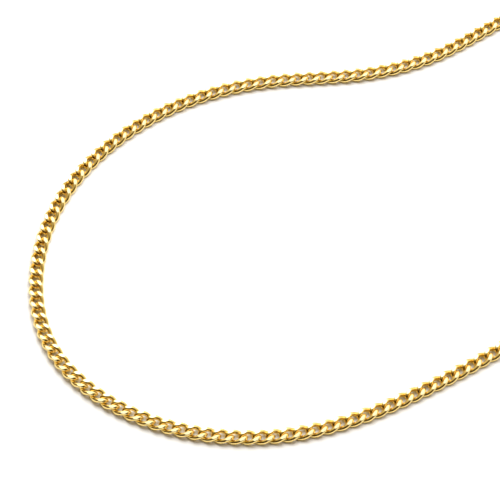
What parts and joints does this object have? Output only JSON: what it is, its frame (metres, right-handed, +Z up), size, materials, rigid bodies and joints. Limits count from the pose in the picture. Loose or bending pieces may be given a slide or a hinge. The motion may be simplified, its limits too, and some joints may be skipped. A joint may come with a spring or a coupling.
{
  "type": "curb chain necklace",
  "caption": "Neck chain of flattened, interlocked curb links with flat-cut faces, laid flat in a long bent loop and closed by a plain barrel clasp with two jump rings.",
  "frame": {"origin": "middle of the loop's box, on the surface that the necklace lies on", "axes": "+Z up from that surface; +X along the loop's longest side, to the right in the picture; +Y away from the viewer"},
  "size_m": [0.171, 0.1254, 0.0026],
  "materials": {
    "chain_gold": "polished yellow gold, diamond-cut flats",
    "fittings_gold": "polished yellow gold"
  },
  "bodies": {
    "root": {"chain_upper": "chain_gold", "chain_lower": "chain_gold", "jump_ring_upper": "fittings_gold", "jump_ring_lower": "fittings_gold", "clasp": "fittings_gold"}
  },
  "joints": []
}
